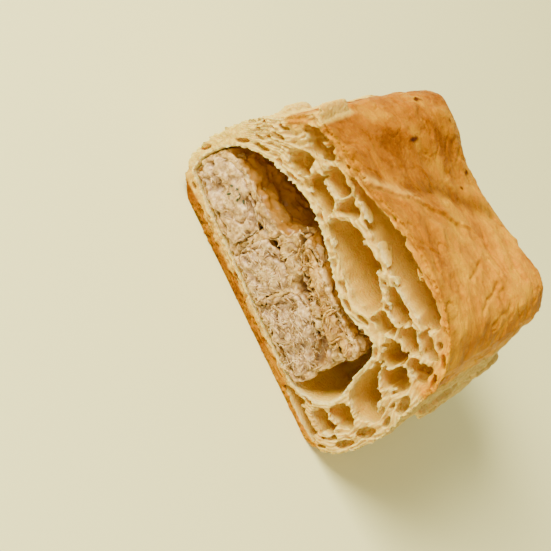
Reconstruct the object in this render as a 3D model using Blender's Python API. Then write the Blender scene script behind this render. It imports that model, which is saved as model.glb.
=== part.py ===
"""Half of a baked chicken puff, cut across, lying on its flat base with the cut face to -Y.

The puff is a folded parcel of laminated pastry. Baking has lifted its layers into long steam
pockets above and beside the filling, and the cut opens them. Every outline below is a real size
in millimetres, as (x, z) on the cut face unless its name says otherwise.
"""

import math

import bmesh
import bpy
from mathutils import Matrix, Vector, noise

MM = 0.001

# Driving sizes of the half puff
DEPTH = 62.0
CUT_Y = -DEPTH / 2
GAP = 0.35
SOCKET_END_GAPS = 3
CUTTER_OVERSHOOT = 3.0
BLIND_END_SHARE = 0.12
SAG_TO_BACK = 0.06

# Shape of the baked parcel
TOP_PROFILE_AT_CUT = [
    (-32.0, 41.6), (-29.0, 43.4), (-24.0, 44.9), (-18.0, 45.8), (-12.0, 46.9), (-6.0, 49.2),
    (0.0, 50.5), (8.0, 51.0), (16.0, 50.6), (22.0, 49.4), (27.0, 46.9), (31.2, 42.8),
]  # fmt: skip
TOP_HEIGHT_AT_BACK = [44.0, 46.6, 48.0, 47.2, 45.6, 44.9, 45.4, 46.9, 48.8, 50.2, 50.0, 46.6]
LEFT_WALL = [
    (-30.0, 0.0), (-35.2, 0.07), (-37.8, 0.17), (-38.9, 0.33), (-38.4, 0.52), (-37.0, 0.68),
    (-35.0, 0.82), (-33.3, 0.93), (-32.0, 1.0),
]  # fmt: skip
RIGHT_WALL = [
    (34.0, 0.0), (37.4, 0.06), (39.3, 0.15), (40.0, 0.28), (39.4, 0.44), (37.8, 0.58),
    (35.8, 0.72), (33.5, 0.88), (31.2, 1.0),
]  # fmt: skip
BACK_WALL = [
    (27.5, 0.0), (29.8, 0.1), (30.6, 0.25), (30.8, 0.45), (30.2, 0.7), (29.2, 0.88), (28.2, 1.0),
]  # fmt: skip
SHOULDER_HEIGHT = 35.5
BACK_ROUNDING_START_Y = 13.0
BACK_ROUNDING_LENGTH = 15.0
LEFT_TAPER = 0.13
RIGHT_TAPER = 0.0
CORNER_ROUNDING = 0.05
CORNER_SETBACK = 4.0
CORNER_SHARPNESS = 8
EAR_CENTRE = Vector((-28.0, 19.0))
EAR_RADIUS = 5.0
EAR_HEIGHT = 1.0
BELLY_CENTRE = Vector((9.0, 17.0))
BELLY_REACH = Vector((17.0, 9.0))
BELLY_BULGE = 2.2
BELLY_FALL = 6

# Relief of the baked surface
LAYER_EDGE_HEIGHT = 0.42
LAYER_EDGE_WANDER = 1.0
LAYER_EDGE_WANDER_SIZE = 9.0
LAYER_EDGE_TOP_SHARE = 0.75
RELIEF_FADE_SHARE = 0.1
WALL_RELIEF_START_X = 26.0
WALL_RELIEF_START_Y = 20.0
WALL_RELIEF_REACH = 9.0
CRUST_LIP = 0.5
CRUST_LIP_START_SHARE = 0.8
CRUST_LIP_FADE_SHARE = 0.15
BLISTER_HEIGHT = 0.5
BLISTER_SIZE = 7.0
CUT_FACE_RELIEF = 0.45
CUT_FACE_RELIEF_PER_MM = 0.3
CUT_FACE_RELIEF_SHARE = 0.05
CREASE_START = Vector((-12.0, -30.0))
CREASE_END = Vector((3.0, 14.0))
CREASE_DEPTH = 1.1
CREASE_WIDTH = 3.2

# The hollow that holds the filling, with the steam space above it and beside it
HOLLOW = [
    (-34.6, 5.4), (-36.0, 9.5), (-35.8, 15.0), (-34.2, 19.8), (-31.0, 23.8), (-26.0, 27.2),
    (-20.0, 29.3), (-14.0, 30.8), (-9.5, 30.3), (-4.0, 29.1), (3.0, 27.4), (9.0, 26.5),
    (13.0, 27.4), (17.5, 29.4), (20.4, 29.0), (22.4, 25.8), (24.4, 20.5), (27.2, 15.4),
    (27.6, 11.0), (26.0, 7.4), (22.4, 4.8), (18.5, 3.8), (8.0, 3.6), (-10.0, 4.2), (-25.0, 4.6),
]  # fmt: skip
HOLLOW_DEPTH = 51.0

# Steam pockets between the pastry layers: outline and how far each runs into the puff
POCKETS = {
    "under_crust": ([
        (-16.4, 43.7), (-12, 43.1), (-6, 42.7), (0, 42.4), (6, 42.2), (12, 42.6),
        (18, 43.4), (22.4, 44.4), (24, 45.4), (22, 46.6), (16, 47.8), (8, 48.2),
        (0, 47.4), (-5, 46.2), (-10, 45.2), (-14.6, 44.8),
    ], 32.0),
    "large": ([
        (-9.4, 33.4), (-6, 32.1), (0, 31.4), (6, 31.2), (11, 31.9), (12.6, 33.6),
        (11.6, 36), (8.3, 38), (3, 39.2), (-3, 38.8), (-7, 36.8),
    ], 36.0),
    "left_bright": ([
        (-19.8, 32.7), (-15, 33), (-11.9, 33.9), (-11.7, 35.7), (-14, 36.4), (-18, 36),
        (-20, 34.6),
    ], 24.0),
    "left_low": ([
        (-26.3, 31.3), (-23.5, 31.5), (-21.7, 32.4), (-21.5, 34.4), (-23.8, 35), (-26, 33.4),
    ], 16.0),
    "left_middle": ([
        (-19.6, 38), (-16, 38), (-13.4, 38.9), (-13.4, 40.6), (-15, 41.4), (-18, 40.7),
        (-19.8, 39.4),
    ], 20.0),
    "left_small": ([
        (-12, 37.9), (-10.2, 38), (-8.8, 39.3), (-9.6, 40.7), (-11.8, 40.4),
    ], 12.0),
    "left_high": ([
        (-29.6, 38.2), (-26, 38.3), (-22.4, 39.7), (-22.6, 41.5), (-26.4, 41.2), (-29.6, 39.9),
    ], 18.0),
    "middle_right": ([
        (9.8, 39.4), (12.3, 38.2), (15.6, 37.4), (17.6, 38.8), (17.2, 41), (13.6, 41.3),
        (10.4, 40.8),
    ], 20.0),
    "right_cell": ([
        (13.8, 33.8), (16.4, 33.2), (18.6, 33.9), (18.2, 35.6), (14.9, 35.9), (13.6, 35.2),
    ], 12.0),
    "right_small": ([
        (19.6, 37.6), (22.4, 37.1), (24.4, 38.1), (24, 39.7), (21.4, 39.9), (19.7, 39.2),
    ], 14.0),
    "right_high": ([
        (25.6, 40.6), (26.6, 41.8), (24.4, 43), (21.6, 42.7), (21.4, 41.5), (23.6, 41.2),
    ], 12.0),
    "right_shoulder": ([
        (26.6, 36.4), (29.2, 35.6), (30.4, 36.8), (28.8, 39), (26.8, 38.4),
    ], 12.0),
    "right_bright": ([
        (20.6, 34.5), (20.6, 32.6), (22.7, 30.4), (24.9, 30), (25.4, 31.8), (24.7, 34.4),
        (22.6, 35.2),
    ], 22.0),
    "right_pale": ([
        (26.5, 33), (26.7, 29.8), (26, 28.2), (28.5, 26.9), (30.3, 28.6), (30.1, 32.2),
        (28.4, 33.9),
    ], 22.0),
    "right_tall": ([
        (23.8, 28.2), (25.8, 26.6), (29.4, 24.6), (34, 22.6), (34.8, 20.2), (32.8, 17.4),
        (29.8, 17), (27.2, 19.2), (25.4, 23),
    ], 30.0),
    "right_low": ([
        (29.8, 14.4), (32.6, 15), (34.3, 13.4), (33, 11.3), (30.5, 10.6), (29.5, 12.4),
    ], 16.0),
    "right_foot": ([
        (28.9, 5.9), (32, 5.6), (35.1, 7), (34.4, 8.8), (31, 8.6), (28.7, 7.8),
    ], 14.0),
    "base_split": ([
        (21.5, 1.7), (27, 1.5), (33, 1.7), (34.4, 2.7), (28, 3.3), (22.2, 2.9),
    ], 14.0),
}  # fmt: skip

# The filling: bound chicken below, with four large pieces of meat that the cut shows
FILLING = [
    (-34.0, 6.2), (-35.4, 9.8), (-35.2, 14.6), (-33.9, 17.7), (-28.0, 18.6), (-20.0, 19.0),
    (-13.0, 19.8), (-10.2, 22.2), (-9.4, 25.6), (-4.0, 26.4), (2.0, 25.4), (10.0, 24.7),
    (16.0, 25.0), (19.8, 25.4), (20.8, 22.0), (20.2, 17.0), (20.8, 11.0), (20.6, 6.2),
    (18.6, 4.4), (8.0, 4.1), (-10.0, 4.7), (-25.0, 5.1),
]  # fmt: skip
FILLING_DEPTH = 48.0
CHICKEN = {
    "chicken_left": ([
        (-33.2, 7.2), (-24, 6.3), (-16.4, 6.4), (-14.6, 10), (-15.8, 15.4), (-22, 16.8),
        (-29, 16.6), (-33.6, 15),
    ], 20.0),
    "chicken_middle": ([
        (-12.6, 6.2), (-6, 5.6), (-0.9, 5.6), (-0.5, 10), (-1.4, 14.8), (-7, 16.8),
        (-11.8, 15.8), (-13.2, 10.6),
    ], 17.0),
    "chicken_right": ([
        (1.2, 5.7), (8, 5.2), (17, 5.3), (19.3, 6.6), (18.3, 10), (15.4, 14),
        (11.6, 16.4), (6.6, 17.4), (2.4, 16.2), (0.9, 11),
    ], 24.0),
    "chicken_top": ([
        (-8, 23.8), (-4, 21.6), (0.5, 20.4), (6, 20.5), (11, 19.6), (16, 19.6),
        (19.5, 21), (18.9, 24.1), (12, 23.6), (4, 23.9), (-3, 25.2),
    ], 26.0),
}  # fmt: skip

# Layers that have sprung out of the walls: middle, half sizes and lean in degrees about the depth
FLAKES = {
    "left_shoulder": ((-31.4, -24.5, 43.0), (2.0, 6.0, 0.7), 26.0),
    "left_low": ((-37.0, -6.0, 9.5), (2.0, 11.0, 0.9), -8.0),
    "left_middle": ((-35.4, 8.0, 20.0), (2.2, 12.0, 0.9), 6.0),
    "left_high": ((-36.2, -18.0, 29.0), (1.8, 8.0, 0.9), 12.0),
    "right_low": ((39.2, -14.0, 8.0), (1.9, 11.0, 0.9), 6.0),
    "right_middle": ((40.8, 5.0, 17.0), (2.1, 14.0, 0.9), 3.0),
    "right_high": ((38.0, -12.0, 26.0), (2.0, 11.0, 0.9), -8.0),
    "right_back": ((38.4, 15.0, 25.5), (2.2, 9.0, 0.9), -6.0),
    "back_low": ((-6.0, 29.7, 10.5), (14.0, 1.7, 0.9), 0.0),
    "back_middle": ((12.0, 29.7, 19.5), (13.0, 1.7, 0.9), 3.0),
    "back_high": ((-11.0, 29.2, 27.5), (12.0, 1.7, 0.9), -2.0),
}  # fmt: skip
FLAKE_BLUNTNESS = 0.6
FLAKE_RAGGEDNESS = 0.22
FLAKE_RAGS_PER_UNIT = 2.3

# Fineness of the solids
WIDTH_STATIONS = 26
DEPTH_STATIONS = 20
HEIGHT_STATIONS = 20
END_CROWDING = 0.35
CURVE_STEPS = 12
FLAKE_SEGMENTS = 16
FLAKE_RINGS = 5
POCKET_POINTS = 13
POCKET_RINGS = 4
HOLLOW_POINTS = 44
FILLING_POINTS = 40
CHUNK_POINTS = 18
FILLING_RINGS = 7
CLOSE_TO = 1e-4

# Colours as sRGB hex, taken by eye from the food
CRUST_COLOUR = "D8922E"
FILLING_COLOUR = "D8BF92"
CHICKEN_COLOUR = "E2CBB4"


def linear(hex_colour):
    """A hex sRGB colour as linear RGBA."""
    channels = [int(hex_colour[i : i + 2], 16) / 255 for i in (0, 2, 4)]
    return [c / 12.92 if c <= 0.04045 else ((c + 0.055) / 1.055) ** 2.4 for c in channels] + [1.0]


def food_material(name, colour, roughness):
    material = bpy.data.materials.new(name)
    material.use_nodes = True
    shader = material.node_tree.nodes["Principled BSDF"]
    shader.inputs["Base Color"].default_value = linear(colour)
    shader.inputs["Roughness"].default_value = roughness
    shader.inputs["Metallic"].default_value = 0.0
    return material


def clear_scene():
    for obj in list(bpy.data.objects):
        bpy.data.objects.remove(obj)


def new_collection(name):
    collection = bpy.data.collections.new(name)
    bpy.context.scene.collection.children.link(collection)
    return collection


def mesh_object(name, bm, collection, material=None):
    """Turns a bmesh in millimetres into an object in metres."""
    bmesh.ops.recalc_face_normals(bm, faces=bm.faces)
    bmesh.ops.scale(bm, vec=(MM, MM, MM), verts=bm.verts)
    mesh = bpy.data.meshes.new(name)
    bm.to_mesh(mesh)
    bm.free()
    obj = bpy.data.objects.new(name, mesh)
    collection.objects.link(obj)
    if material:
        mesh.materials.append(material)
    return obj


def smooth_step(t):
    t = min(max(t, 0.0), 1.0)
    return t * t * (3 - 2 * t)


def spline_point(before, start, end, after, t):
    """A point on the Catmull-Rom span from start to end."""
    return 0.5 * (
        2 * start
        + (end - before) * t
        + (2 * before - 5 * start + 4 * end - after) * t * t
        + (3 * start - before - 3 * end + after) * t**3
    )


def closed_curve(points, count):
    """That many points, evenly spaced, on a smooth closed curve through the given ones."""
    knots = [Vector(p) for p in points]
    n = len(knots)
    dense = [
        spline_point(knots[i - 1], knots[i], knots[(i + 1) % n], knots[(i + 2) % n], j / CURVE_STEPS)
        for i in range(n)
        for j in range(CURVE_STEPS)
    ]
    dense.append(dense[0])
    lengths = [0.0]
    for p, q in zip(dense, dense[1:]):
        lengths.append(lengths[-1] + (q - p).length)
    result = []
    k = 0
    for i in range(count):
        target = lengths[-1] * i / count
        while lengths[k + 1] < target:
            k += 1
        share = (target - lengths[k]) / (lengths[k + 1] - lengths[k])
        result.append(dense[k].lerp(dense[k + 1], share))
    return result


def value_along(table, share):
    """Reads a list of evenly spaced values at a share of its length, smoothly."""
    place = min(max(share, 0.0), 1.0) * (len(table) - 1)
    i = min(int(place), len(table) - 2)
    before, after = table[max(i - 1, 0)], table[min(i + 2, len(table) - 1)]
    return spline_point(before, table[i], table[i + 1], after, place - i)


def wall_at(wall, height_share):
    """How far out a wall stands at a share of its height."""
    for (out_a, at_a), (out_b, at_b) in zip(wall, wall[1:]):
        if height_share <= at_b:
            return out_a + (out_b - out_a) * smooth_step((height_share - at_a) / (at_b - at_a))
    return wall[-1][0]


def back_share(y):
    return smooth_step((y - CUT_Y) / (BACK_ROUNDING_START_Y - CUT_Y))


def crease(x, y):
    """How deep the fold in the top crust is here."""
    along = CREASE_END - CREASE_START
    offset = Vector((x, y)) - CREASE_START
    share = offset.dot(along) / along.length_squared
    if not 0 <= share <= 1:
        return 0.0
    away = (offset - along * share).length / CREASE_WIDTH
    return CREASE_DEPTH * math.exp(-away * away) * math.sin(math.pi * share)


def ear(x, y):
    """How far the flaky corner at the back left stands up here."""
    away = (Vector((x, y)) - EAR_CENTRE).length / EAR_RADIUS
    return EAR_HEIGHT * math.exp(-away * away)


def belly(y, z):
    """How far the layers on the right spread sideways here."""
    along, high = (y - BELLY_CENTRE.x) / BELLY_REACH.x, (z - BELLY_CENTRE.y) / BELLY_REACH.y
    return BELLY_BULGE * math.exp(-along * along - high * high)


def top_height(width_share, x, y):
    """Height of the top crust, before its relief."""
    at_cut = value_along([z for _, z in TOP_PROFILE_AT_CUT], width_share)
    at_back = value_along(TOP_HEIGHT_AT_BACK, width_share)
    height = at_cut + (at_back - at_cut) * back_share(y)
    turn = min(max((y - BACK_ROUNDING_START_Y) / BACK_ROUNDING_LENGTH, 0.0), 1.0)
    return height - (height - SHOULDER_HEIGHT) * turn * turn - crease(x, y) + ear(x, y)


def body_point(a, b, c):
    """Maps a cube with corners at -1 and 1 to the baked half: a across, b from the cut back, c up."""
    across, back, up = (a + 1) / 2, (b + 1) / 2, (c + 1) / 2
    top_x = value_along([x for x, _ in TOP_PROFILE_AT_CUT], across)
    left_x, right_x = wall_at(LEFT_WALL, up), wall_at(RIGHT_WALL, up)
    foot_left, foot_right = LEFT_WALL[0][0], RIGHT_WALL[0][0]
    rim_left, rim_right = LEFT_WALL[-1][0], RIGHT_WALL[-1][0]
    x = (1 - up) * (foot_left + (foot_right - foot_left) * across) + up * top_x
    x += (1 - across) * (left_x - foot_left - (rim_left - foot_left) * up)
    x += across * (right_x - foot_right - (rim_right - foot_right) * up)
    y = CUT_Y + (wall_at(BACK_WALL, up) - CUT_Y) * back
    x *= 1 - (LEFT_TAPER if x < 0 else RIGHT_TAPER) * back - CORNER_ROUNDING * back**CORNER_SHARPNESS
    y -= CORNER_SETBACK * abs(a * back) ** CORNER_SHARPNESS
    z = up * top_height(across, x, y)
    return Vector((x + across**BELLY_FALL * belly(y, z), y, z))


def relief(point, a, b, c):
    """Layer edges on the walls, blisters on the crust and a ragged cut face."""
    up = (c + 1) / 2
    if c == -1:
        return point
    blister = noise.noise(point / BLISTER_SIZE) * BLISTER_HEIGHT
    wander = noise.noise(point / LAYER_EDGE_WANDER_SIZE)
    out = LAYER_EDGE_HEIGHT * math.cos(math.pi * up * HEIGHT_STATIONS) * (1 + wander)
    out *= smooth_step(up / RELIEF_FADE_SHARE)
    out *= 1 - smooth_step((up - LAYER_EDGE_TOP_SHARE) / RELIEF_FADE_SHARE)
    out += blister + CRUST_LIP * smooth_step((up - CRUST_LIP_START_SHARE) / CRUST_LIP_FADE_SHARE)
    near_side = smooth_step((abs(point.x) - WALL_RELIEF_START_X) / WALL_RELIEF_REACH)
    near_back = smooth_step((point.y - WALL_RELIEF_START_Y) / WALL_RELIEF_REACH)
    near_cut = 1 - smooth_step((b + 1) / 2 / CUT_FACE_RELIEF_SHARE)
    point.x += math.copysign(out * near_side, a)
    point.y += out * near_back + noise.noise(point * CUT_FACE_RELIEF_PER_MM) * CUT_FACE_RELIEF * near_cut
    point.z += wander * LAYER_EDGE_WANDER * max(near_side, near_back) * math.sin(math.pi * up)
    if c == 1:
        point.z += blister
    return point


def stations(count, crowding):
    """Places to slice the cube, closer together towards its ends where there is crowding."""
    for i in range(1, count):
        share = -1 + 2 * i / count
        yield share + (math.sin(share * math.pi / 2) - share) * crowding


def baked_body(collection, material):
    """The outside of the half puff, as a sliced cube pushed into shape, with a flat base."""
    bm = bmesh.new()
    bmesh.ops.create_cube(bm, size=2)
    slicing = ((WIDTH_STATIONS, END_CROWDING), (DEPTH_STATIONS, END_CROWDING), (HEIGHT_STATIONS, 0.0))
    for axis, (count, crowding) in enumerate(slicing):
        normal = Vector([float(axis == i) for i in range(3)])
        for place in stations(count, crowding):
            geometry = bm.verts[:] + bm.edges[:] + bm.faces[:]
            bmesh.ops.bisect_plane(bm, geom=geometry, plane_co=normal * place, plane_no=normal)
    base = [f for f in bm.faces if all(v.co.z + 1 < CLOSE_TO for v in f.verts)]
    bmesh.ops.dissolve_faces(bm, faces=base, use_verts=False)
    for v in bm.verts:
        a, b, c = (float(round(t)) if abs(abs(t) - 1) < CLOSE_TO else t for t in v.co)
        v.co = relief(body_point(a, b, c), a, b, c)
    return mesh_object("pastry", bm, collection, material)


def tunnel(name, outline, depth, rings, collection, grow=0.0, overshoot=0.0, material=None):
    """A closed form with that outline, running back from the cut and closing as a bubble does."""
    bm = bmesh.new()
    centre = sum(outline, Vector((0, 0))) / len(outline)
    shares = [r / rings for r in range(rings + 1)]
    places = [(share, CUT_Y + depth * math.sin(share * math.pi / 2)) for share in shares]
    if overshoot:
        places.insert(0, (0.0, CUT_Y - overshoot))
    loops = []
    for share, y in places:
        size = max(math.sqrt(1 - math.sin(share * math.pi / 2) ** 3), BLIND_END_SHARE)
        ring = []
        for i, p in enumerate(outline):
            along = (outline[(i + 1) % len(outline)] - outline[i - 1]).normalized()
            q = centre + (p - centre) * size + Vector((along.y, -along.x)) * grow
            q.x *= 1 - (LEFT_TAPER if q.x < 0 else RIGHT_TAPER) * share
            ring.append(bm.verts.new((q.x, y, q.y * (1 - back_share(y) * SAG_TO_BACK))))
        loops.append([bm.edges.new((ring[i], ring[(i + 1) % len(ring)])) for i in range(len(ring))])
    for near, far in zip(loops, loops[1:]):
        bmesh.ops.bridge_loops(bm, edges=near + far)
    bmesh.ops.holes_fill(bm, edges=bm.edges, sides=0)
    bmesh.ops.triangulate(bm, faces=[f for f in bm.faces if len(f.verts) > 4])
    return mesh_object(name, bm, collection, material)


def anticlockwise(outline):
    area = sum(p.x * q.y - q.x * p.y for p, q in zip(outline, outline[1:] + outline[:1]))
    return outline if area > 0 else outline[::-1]


def flake(name, middle, half_sizes, lean, collection):
    """A thin ragged plate of pastry."""
    bm = bmesh.new()
    bmesh.ops.create_uvsphere(bm, u_segments=FLAKE_SEGMENTS, v_segments=FLAKE_RINGS, radius=1)
    for v in bm.verts:
        ragged = 1 + FLAKE_RAGGEDNESS * noise.noise(v.co * FLAKE_RAGS_PER_UNIT + Vector(middle))
        blunt = [math.copysign(abs(t) ** FLAKE_BLUNTNESS, t) for t in v.co]
        v.co = Vector([blunt[i] * half_sizes[i] * ragged for i in range(3)])
    bmesh.ops.rotate(bm, cent=(0, 0, 0), matrix=Matrix.Rotation(math.radians(lean), 3, "Y"), verts=bm.verts)
    bmesh.ops.translate(bm, vec=middle, verts=bm.verts)
    return mesh_object(name, bm, collection)


def fuse(obj, pieces):
    """Joins every object of a collection to one object for good, then clears the collection."""
    union = obj.modifiers.new("fuse", "BOOLEAN")
    union.operation = "UNION"
    union.operand_type = "COLLECTION"
    union.collection = pieces
    union.solver = "EXACT"
    evaluated = obj.evaluated_get(bpy.context.evaluated_depsgraph_get())
    joined = bpy.data.meshes.new_from_object(evaluated)
    obj.modifiers.remove(union)
    obj.data = joined
    for piece in list(pieces.objects):
        bpy.data.objects.remove(piece)
    bpy.data.collections.remove(pieces)


def subtract(obj, cutters):
    """Cuts every object of a collection out of one object."""
    cut = obj.modifiers.new("cut", "BOOLEAN")
    cut.operation = "DIFFERENCE"
    cut.operand_type = "COLLECTION"
    cut.collection = cutters
    cut.solver = "EXACT"
    for cutter in cutters.objects:
        cutter.hide_render = True
        cutter.display_type = "WIRE"


def build_pastry(collection):
    pastry = baked_body(collection, food_material("baked_pastry", CRUST_COLOUR, 0.45))
    flakes = new_collection("sprung_flakes")
    for name, (middle, half_sizes, lean) in FLAKES.items():
        flake(name + "_flake", middle, half_sizes, lean, flakes)
    fuse(pastry, flakes)
    cutters = new_collection("pastry_cutters")
    hollow = anticlockwise(closed_curve(HOLLOW, HOLLOW_POINTS))
    tunnel("hollow_cutter", hollow, HOLLOW_DEPTH, FILLING_RINGS, cutters, overshoot=CUTTER_OVERSHOOT)
    for name, (outline, depth) in POCKETS.items():
        ring = anticlockwise(closed_curve(outline, POCKET_POINTS))
        tunnel(name + "_cutter", ring, depth, POCKET_RINGS, cutters, overshoot=CUTTER_OVERSHOOT)
    subtract(pastry, cutters)


def build_filling(collection):
    filling_material = food_material("bound_filling", FILLING_COLOUR, 0.5)
    meat_material = food_material("chicken_meat", CHICKEN_COLOUR, 0.55)
    outline = anticlockwise(closed_curve(FILLING, FILLING_POINTS))
    filling = tunnel(
        "filling", outline, FILLING_DEPTH, FILLING_RINGS, collection, material=filling_material
    )
    sockets = new_collection("filling_cutters")
    for name, (points, depth) in CHICKEN.items():
        ring = anticlockwise(closed_curve(points, CHUNK_POINTS))
        tunnel(name, ring, depth, POCKET_RINGS, collection, material=meat_material)
        socket_depth = depth + SOCKET_END_GAPS * GAP
        tunnel(name + "_socket", ring, socket_depth, POCKET_RINGS, sockets, grow=GAP, overshoot=CUTTER_OVERSHOOT)
    subtract(filling, sockets)


def centre_on_base(collection):
    """Moves everything alike so that the food stands centred on the origin, on its base."""
    depsgraph = bpy.context.evaluated_depsgraph_get()
    corners = [Vector(c) for obj in collection.objects for c in obj.evaluated_get(depsgraph).bound_box]
    low = Vector([min(c[i] for c in corners) for i in range(3)])
    high = Vector([max(c[i] for c in corners) for i in range(3)])
    shift = Vector((-(low.x + high.x) / 2, -(low.y + high.y) / 2, -low.z))
    for obj in bpy.data.objects:
        obj.data.transform(Matrix.Translation(shift))


def main():
    clear_scene()
    puff = new_collection("chicken_puff")
    build_pastry(puff)
    build_filling(puff)
    centre_on_base(puff)


main()
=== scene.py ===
"""The looks of half a baked chicken puff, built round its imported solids."""

import itertools
import math
import random

import bmesh
import bpy
import numpy as np
from mathutils import Matrix, Vector
from mathutils.bvhtree import BVHTree


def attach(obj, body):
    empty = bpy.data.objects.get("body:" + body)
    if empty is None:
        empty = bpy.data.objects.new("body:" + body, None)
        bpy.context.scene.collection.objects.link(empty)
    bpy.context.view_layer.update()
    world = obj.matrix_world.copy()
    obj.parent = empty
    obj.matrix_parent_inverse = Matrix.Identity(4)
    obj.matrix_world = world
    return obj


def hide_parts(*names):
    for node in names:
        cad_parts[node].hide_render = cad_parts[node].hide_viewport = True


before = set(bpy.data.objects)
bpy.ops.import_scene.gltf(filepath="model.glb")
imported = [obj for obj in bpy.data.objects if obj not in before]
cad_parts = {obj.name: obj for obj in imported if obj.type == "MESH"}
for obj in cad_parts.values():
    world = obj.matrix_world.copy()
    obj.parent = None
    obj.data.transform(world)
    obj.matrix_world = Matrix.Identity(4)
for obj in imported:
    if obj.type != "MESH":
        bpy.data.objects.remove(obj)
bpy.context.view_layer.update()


# The view. A close product picture from the cut side, 37 degrees above the board, with the camera
# turned on its axis so that the puff seems to lean. The long lens flattens the far end a little.
MM = 0.001
IMAGE_PX = 551
SENSOR_MM = 36.0
PX_PER_MM = 4.34
CAMERA_DISTANCE = 320.0
CAMERA_ELEVATION = math.radians(37.0)
CAMERA_TURN = math.radians(64.1)
MEASURED_TO_FRAME = Vector((-1.667, -0.045, 0.0))
AIM = Vector((-4.1, -31.0, 13.4)) + MEASURED_TO_FRAME

backward = Vector((0.0, -math.cos(CAMERA_ELEVATION), math.sin(CAMERA_ELEVATION)))
level_right = Vector((1.0, 0.0, 0.0))
level_up = backward.cross(level_right)
view_right = level_right * math.cos(CAMERA_TURN) + level_up * math.sin(CAMERA_TURN)
view_up = level_up * math.cos(CAMERA_TURN) - level_right * math.sin(CAMERA_TURN)
eye = AIM + backward * CAMERA_DISTANCE

camera_data = bpy.data.cameras.new("camera")
camera_data.sensor_width = SENSOR_MM
camera_data.lens = SENSOR_MM * PX_PER_MM * CAMERA_DISTANCE / IMAGE_PX
camera_data.clip_start = 0.01
camera = bpy.data.objects.new("camera", camera_data)
facing = Matrix((view_right, view_up, backward)).transposed().to_4x4()
camera.matrix_world = Matrix.Translation(eye * MM) @ facing
bpy.context.collection.objects.link(camera)
bpy.context.scene.camera = camera


# The light. A wide soft source from the upper left of the picture, a weaker one from the front and
# a bright room all round, as near a window with pale walls.
LIT_MIDDLE = Vector((0.0, 0.0, 0.02))
ROOM_COLOUR = "FFF9EC"
ROOM_STRENGTH = 0.54


def linear(hex_colour):
    """A hex sRGB colour as linear RGBA."""
    channels = [int(hex_colour[i : i + 2], 16) / 255 for i in (0, 2, 4)]
    return tuple(c / 12.92 if c <= 0.04045 else ((c + 0.055) / 1.055) ** 2.4 for c in channels) + (1.0,)


def soft_light(name, toward, distance, width, watts, colour):
    """A square area light that stands that way from the puff's middle and faces it."""
    data = bpy.data.lights.new(name, "AREA")
    data.shape = "SQUARE"
    data.size = width
    data.energy = watts
    data.color = linear(colour)[:3]
    light = bpy.data.objects.new(name, data)
    place = LIT_MIDDLE + toward.normalized() * distance
    light.matrix_world = Matrix.Translation(place) @ toward.to_track_quat("Z", "Y").to_matrix().to_4x4()
    bpy.context.collection.objects.link(light)


soft_light("window", Vector((-0.70, -0.40, 0.60)), 0.95, 0.55, 27.0, "FFFAF0")
soft_light("fill", Vector((0.22, -0.95, 0.22)), 0.8, 0.45, 4.0, "FFF4E0")

room = bpy.data.worlds.new("room")
room.use_nodes = True
room.node_tree.nodes["Background"].inputs["Color"].default_value = linear(ROOM_COLOUR)
room.node_tree.nodes["Background"].inputs["Strength"].default_value = ROOM_STRENGTH
bpy.context.scene.world = room


# The board. A smooth sheet of matt cream card, wide enough to fill the picture, which takes only a
# soft shadow.
BOARD_SIZE = 4.0
BOARD_COLOUR = "F7F3A9"


def add_node(tree, kind, settings=None, out=0, **links):
    """Adds a shader node and gives the output called for.

    settings sets its properties, and stops there gives a ramp its places and hex colours. links gives
    its inputs values or other nodes' outputs, by name, or by number after an underscore.
    """
    settings = dict(settings or {})
    node = tree.nodes.new(kind)
    for number, (place, colour) in enumerate(settings.pop("stops", ())):
        elements = node.color_ramp.elements
        element = elements[number] if number < len(elements) else elements.new(place)
        element.position, element.color = place, linear(colour)
    for key, value in settings.items():
        setattr(node, key, value)
    for key, value in links.items():
        name = key.replace("_", " ")
        socket = node.inputs[int(name[1:])] if name[1:].isdigit() else node.inputs[name]
        if isinstance(value, bpy.types.NodeSocket):
            tree.links.new(value, socket)
        else:
            socket.default_value = value
    return node.outputs[out]


def new_material(name):
    """A material with a Principled shader, and its tree and shader to work on."""
    material = bpy.data.materials.new(name)
    material.use_nodes = True
    return material, material.node_tree, material.node_tree.nodes["Principled BSDF"]


# Matt uncoated card: no gloss to speak of and one even tone
matt_card, tree, shader = new_material("matt_card")
shader.inputs["Base Color"].default_value = linear(BOARD_COLOUR)
shader.inputs["Roughness"].default_value = 0.9
shader.inputs["Specular IOR Level"].default_value = 0.2

bm = bmesh.new()
bmesh.ops.create_grid(bm, x_segments=1, y_segments=1, size=BOARD_SIZE / 2)
board_mesh = bpy.data.meshes.new("board")
bm.to_mesh(board_mesh)
bm.free()
board_mesh.materials.append(matt_card)
board = bpy.data.objects.new("board", board_mesh)
bpy.context.collection.objects.link(board)


# The baked pastry. One folded sheet of laminated dough. Its outside has dried to a thin golden
# crust, its sides and cut show the pale layers edge on, and steam has blown pockets between them.
FINE_MM = 0.33
CUT_FACE_SLOPE = 0.6
CUT_FACE_REACH = 1.8
BASE_FACING = -0.9
MOUTH_MM = 5.0
FAR_MM = 60.0
PASTRY_TRIANGLES = 640000
PASTRY_PIECES = ("golden_crust", "cut_layers", "pocket_walls", "pale_sides", "hollow_walls")
GOLDEN_CRUST, CUT_LAYERS, POCKET_WALLS, PALE_SIDES, HOLLOW_WALLS = range(len(PASTRY_PIECES))


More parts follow.
